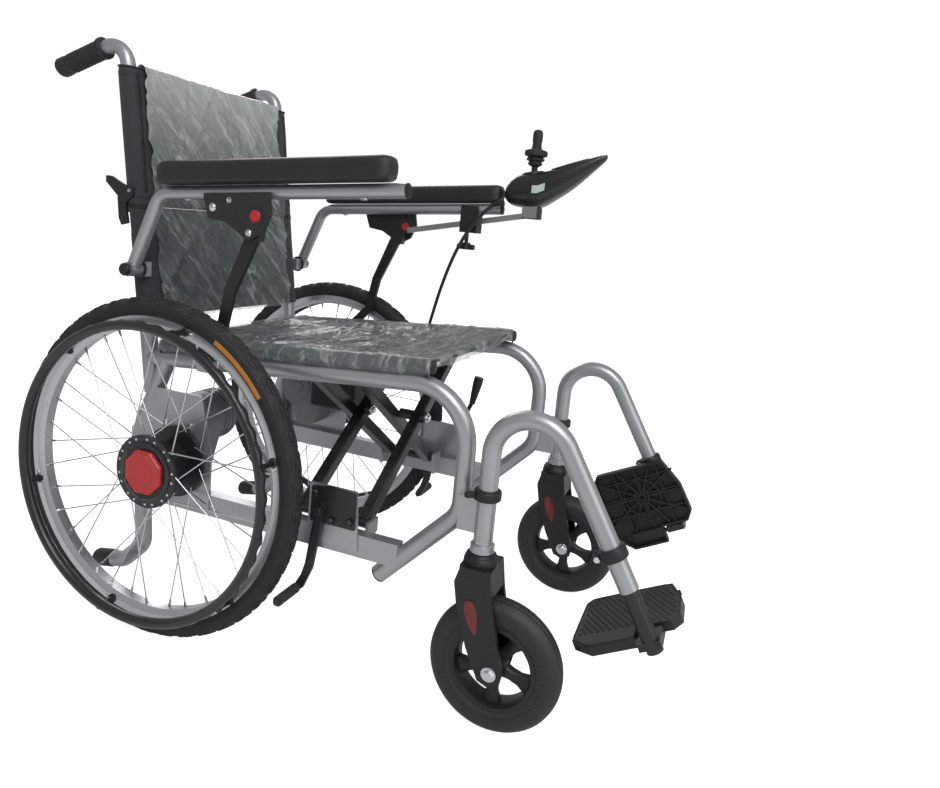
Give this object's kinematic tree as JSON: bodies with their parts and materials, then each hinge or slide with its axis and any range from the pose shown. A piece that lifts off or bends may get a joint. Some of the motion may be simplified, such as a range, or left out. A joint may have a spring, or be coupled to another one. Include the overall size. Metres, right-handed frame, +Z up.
{
  "type": "power wheelchair",
  "caption": "Folding power wheelchair with spoked drive wheels, swivel casters, sling seat, flip-up armrests, swing-away leg rests and joystick.",
  "frame": {"origin": "middle of the footprint on the ground", "axes": "+Z up, -Y forward as the sitter faces, +X to the sitter's left"},
  "size_m": [0.644, 1.1414, 0.9731],
  "materials": {
    "silver_frame": "silver-grey metallic paint, semi-gloss",
    "grip_rubber": "moulded black rubber",
    "black_plastic": "black moulded plastic",
    "pad_vinyl": "black moulded polyurethane with fine grain",
    "black_metal": "black powder coat",
    "red_plastic": "red plastic",
    "tyre_rubber": "black tyre rubber",
    "alloy_rim": "silver alloy",
    "chrome": "bright plated steel",
    "motor_grey": "grey painted casting",
    "caster_rubber": "black solid tyre on a black rim",
    "nylon": "black nylon under a clear protective film",
    "bright_steel": "brushed steel",
    "cable_pvc": "black flexible sheath"
  },
  "bodies": {
    "right_frame": {"right_side_frame": "silver_frame", "right_drive_motor": "motor_grey", "right_brake_bracket": "black_metal", "seat_sling": "nylon", "back_sling": "nylon"},
    "right_wheel": {"right_rear_tyre": "tyre_rubber", "right_rear_rim": "alloy_rim", "right_rear_spokes": "chrome", "right_rear_hub": "black_metal", "right_hand_rim": "black_plastic"},
    "right_clutch": {"right_clutch_knob": "red_plastic"},
    "right_caster_swivel": {"right_caster_fork": "black_plastic"},
    "right_caster": {"right_caster_wheel": "caster_rubber"},
    "right_hanger": {"right_legrest_hanger": "silver_frame"},
    "right_footrest": {"right_footrest_tube": "black_metal"},
    "right_plate": {"right_footplate": "black_plastic"},
    "right_back_half": {"right_upper_back_post": "silver_frame", "right_push_grip": "grip_rubber"},
    "right_release_lever": {"right_back_release_lever": "black_plastic"},
    "right_armrest": {"right_armrest_frame": "silver_frame", "right_armrest_pad": "pad_vinyl", "right_armrest_bracket": "black_metal"},
    "right_arm_button": {"right_armrest_button": "red_plastic"},
    "right_shoe": {"right_brake_shoe": "black_metal"},
    "left_frame": {"left_side_frame": "silver_frame", "left_drive_motor": "motor_grey", "left_brake_bracket": "black_metal", "controller_box": "black_plastic", "joystick_cable": "cable_pvc"},
    "left_wheel": {"left_rear_tyre": "tyre_rubber", "left_rear_rim": "alloy_rim", "left_rear_spokes": "chrome", "left_rear_hub": "black_metal", "left_hand_rim": "black_plastic"},
    "left_clutch": {"left_clutch_knob": "red_plastic"},
    "left_caster_swivel": {"left_caster_fork": "black_plastic"},
    "left_caster": {"left_caster_wheel": "caster_rubber"},
    "left_hanger": {"left_legrest_hanger": "silver_frame"},
    "left_footrest": {"left_footrest_tube": "black_metal"},
    "left_plate": {"left_footplate": "black_plastic"},
    "left_back_half": {"left_upper_back_post": "silver_frame", "left_push_grip": "grip_rubber"},
    "left_release_lever": {"left_back_release_lever": "black_plastic"},
    "left_armrest": {"left_armrest_frame": "silver_frame", "left_armrest_pad": "pad_vinyl", "left_armrest_bracket": "black_metal", "joystick_clamp": "black_plastic"},
    "left_arm_button": {"left_armrest_button": "red_plastic"},
    "left_shoe": {"left_brake_shoe": "black_metal"},
    "brace_from_right": {"right_cross_brace": "black_metal", "left_seat_rail": "black_metal"},
    "brace_from_left": {"left_cross_brace": "black_metal", "right_seat_rail": "black_metal"},
    "brake_lever": {"left_brake_lever": "black_plastic"},
    "joystick": {"joystick_bar": "bright_steel", "joystick_pod": "black_plastic"},
    "clamp_knob": {"joystick_clamp_knob": "black_plastic"},
    "gimbal": {"joystick_gimbal": "black_plastic"},
    "stick": {"joystick_stick": "grip_rubber"},
    "power_button": {"joystick_power_button": "red_plastic"}
  },
  "joints": [
    {"name": "frame_fold", "type": "slide", "parent": "right_frame", "child": "left_frame", "axis": [-1, 0, 0], "range_m": [0, 0.24], "deforming": ["seat_sling", "back_sling"]},
    {"name": "right_brace_turn", "type": "hinge", "parent": "right_frame", "child": "brace_from_right", "pos_m": [-0.178, 0.05134, 0.235], "axis": [0, -1, 0], "range_deg": [0, 37.76]},
    {"name": "left_brace_turn", "type": "hinge", "parent": "left_frame", "child": "brace_from_left", "pos_m": [0.178, 0.07434, 0.235], "axis": [0, 1, 0], "range_deg": [0, 37.76]},
    {"name": "right_wheel_spin", "type": "hinge", "parent": "right_frame", "child": "right_wheel", "pos_m": [-0.273, 0.26534, 0.28], "axis": [1, 0, 0], "continuous": true},
    {"name": "right_clutch_turn", "type": "hinge", "parent": "right_wheel", "child": "right_clutch", "pos_m": [-0.291, 0.26534, 0.28], "axis": [1, 0, 0], "range_deg": [0, 90]},
    {"name": "right_caster_swivel_turn", "type": "hinge", "parent": "right_frame", "child": "right_caster_swivel", "pos_m": [-0.226, -0.28766, 0.262], "axis": [0, 0, 1], "continuous": true},
    {"name": "right_caster_spin", "type": "hinge", "parent": "right_caster_swivel", "child": "right_caster", "pos_m": [-0.226, -0.32466, 0.1], "axis": [1, 0, 0], "continuous": true},
    {"name": "right_hanger_swing", "type": "hinge", "parent": "right_frame", "child": "right_hanger", "pos_m": [-0.226, -0.28766, 0.338], "axis": [0, 0, -1], "range_deg": [0, 90]},
    {"name": "right_footrest_length", "type": "slide", "parent": "right_hanger", "child": "right_footrest", "axis": [0, -0.506, -0.8625], "range_m": [0, 0.05]},
    {"name": "right_footplate_flip", "type": "hinge", "parent": "right_footrest", "child": "right_plate", "pos_m": [-0.199, -0.42841, 0.13994], "axis": [0, -0.8829, 0.4695], "range_deg": [0, 90]},
    {"name": "right_back_fold", "type": "hinge", "parent": "right_frame", "child": "right_back_half", "pos_m": [-0.205, 0.40078, 0.698], "axis": [-1, 0, 0], "range_deg": [0, 90], "deforming": ["back_sling"]},
    {"name": "right_release_lever_turn", "type": "hinge", "parent": "right_back_half", "child": "right_release_lever", "pos_m": [-0.219, 0.38425, 0.722], "axis": [1, 0, 0], "range_deg": [0, 20], "stiffness_Nm_per_rad": 0.5},
    {"name": "right_armrest_flip", "type": "hinge", "parent": "right_frame", "child": "right_armrest", "pos_m": [-0.243, 0.35334, 0.595], "axis": [-1, 0, 0], "range_deg": [0, 100]},
    {"name": "right_arm_button_press", "type": "slide", "parent": "right_armrest", "child": "right_arm_button", "axis": [1, 0, 0], "range_m": [0, 0.0025], "stiffness_N_per_m": 400},
    {"name": "right_brake_shoe_turn", "type": "hinge", "parent": "right_frame", "child": "right_shoe", "pos_m": [-0.222, -0.02266, 0.262], "axis": [1, 0, 0], "range_deg": [-12, 3.5]},
    {"name": "left_wheel_spin", "type": "hinge", "parent": "left_frame", "child": "left_wheel", "pos_m": [0.273, 0.26534, 0.28], "axis": [1, 0, 0], "continuous": true},
    {"name": "left_clutch_turn", "type": "hinge", "parent": "left_wheel", "child": "left_clutch", "pos_m": [0.291, 0.26534, 0.28], "axis": [1, 0, 0], "range_deg": [0, 90]},
    {"name": "left_caster_swivel_turn", "type": "hinge", "parent": "left_frame", "child": "left_caster_swivel", "pos_m": [0.226, -0.28766, 0.262], "axis": [0, 0, 1], "continuous": true},
    {"name": "left_caster_spin", "type": "hinge", "parent": "left_caster_swivel", "child": "left_caster", "pos_m": [0.226, -0.32466, 0.1], "axis": [1, 0, 0], "continuous": true},
    {"name": "left_hanger_swing", "type": "hinge", "parent": "left_frame", "child": "left_hanger", "pos_m": [0.226, -0.28766, 0.338], "axis": [0, 0, 1], "range_deg": [0, 90]},
    {"name": "left_footrest_length", "type": "slide", "parent": "left_hanger", "child": "left_footrest", "axis": [0, -0.506, -0.8625], "range_m": [0, 0.05]},
    {"name": "left_footplate_flip", "type": "hinge", "parent": "left_footrest", "child": "left_plate", "pos_m": [0.199, -0.42841, 0.13994], "axis": [0, 0.8829, -0.4695], "range_deg": [-90, 0]},
    {"name": "left_back_fold", "type": "hinge", "parent": "left_frame", "child": "left_back_half", "pos_m": [0.205, 0.40078, 0.698], "axis": [-1, 0, 0], "range_deg": [0, 90]},
    {"name": "left_release_lever_turn", "type": "hinge", "parent": "left_back_half", "child": "left_release_lever", "pos_m": [0.219, 0.38425, 0.722], "axis": [1, 0, 0], "range_deg": [0, 20], "stiffness_Nm_per_rad": 0.5},
    {"name": "left_armrest_flip", "type": "hinge", "parent": "left_frame", "child": "left_armrest", "pos_m": [0.243, 0.35334, 0.595], "axis": [-1, 0, 0], "range_deg": [0, 100], "deforming": ["joystick_cable"]},
    {"name": "left_arm_button_press", "type": "slide", "parent": "left_armrest", "child": "left_arm_button", "axis": [-1, 0, 0], "range_m": [0, 0.0025], "stiffness_N_per_m": 400},
    {"name": "left_brake_shoe_turn", "type": "hinge", "parent": "left_frame", "child": "left_shoe", "pos_m": [0.222, -0.02266, 0.262], "axis": [1, 0, 0], "range_deg": [0, 3.5]},
    {"name": "brake_lever_turn", "type": "hinge", "parent": "left_frame", "child": "brake_lever", "pos_m": [0.222, -0.05666, 0.266], "axis": [-1, 0, 0], "range_deg": [0, 50]},
    {"name": "joystick_reach", "type": "slide", "parent": "left_armrest", "child": "joystick", "axis": [0, -0.9796, 0.2011], "range_m": [0, 0.06]},
    {"name": "clamp_knob_turn", "type": "hinge", "parent": "left_armrest", "child": "clamp_knob", "pos_m": [0.243, -0.04366, 0.69], "axis": [0, 0, 1], "continuous": true},
    {"name": "stick_fore_aft", "type": "hinge", "parent": "joystick", "child": "gimbal", "pos_m": [0.25, -0.17166, 0.8], "axis": [1, 0, 0], "range_deg": [-18, 18], "stiffness_Nm_per_rad": 0.3},
    {"name": "stick_sideways", "type": "hinge", "parent": "gimbal", "child": "stick", "pos_m": [0.25, -0.17166, 0.8], "axis": [0, 1, 0], "range_deg": [-18, 18], "stiffness_Nm_per_rad": 0.3},
    {"name": "power_button_press", "type": "slide", "parent": "joystick", "child": "power_button", "axis": [0, -0.3219, -0.9468], "range_m": [0, 0.0015], "stiffness_N_per_m": 300}
  ],
  "couplings": [
    {"joint": "right_brace_turn", "follows": "frame_fold", "rad_per_m": 2.7455},
    {"joint": "left_brace_turn", "follows": "frame_fold", "rad_per_m": 2.7455},
    {"joint": "left_back_fold", "follows": "right_back_fold", "ratio": 1},
    {"joint": "left_brake_shoe_turn", "follows": "brake_lever_turn", "ratio": 0.07}
  ]
}
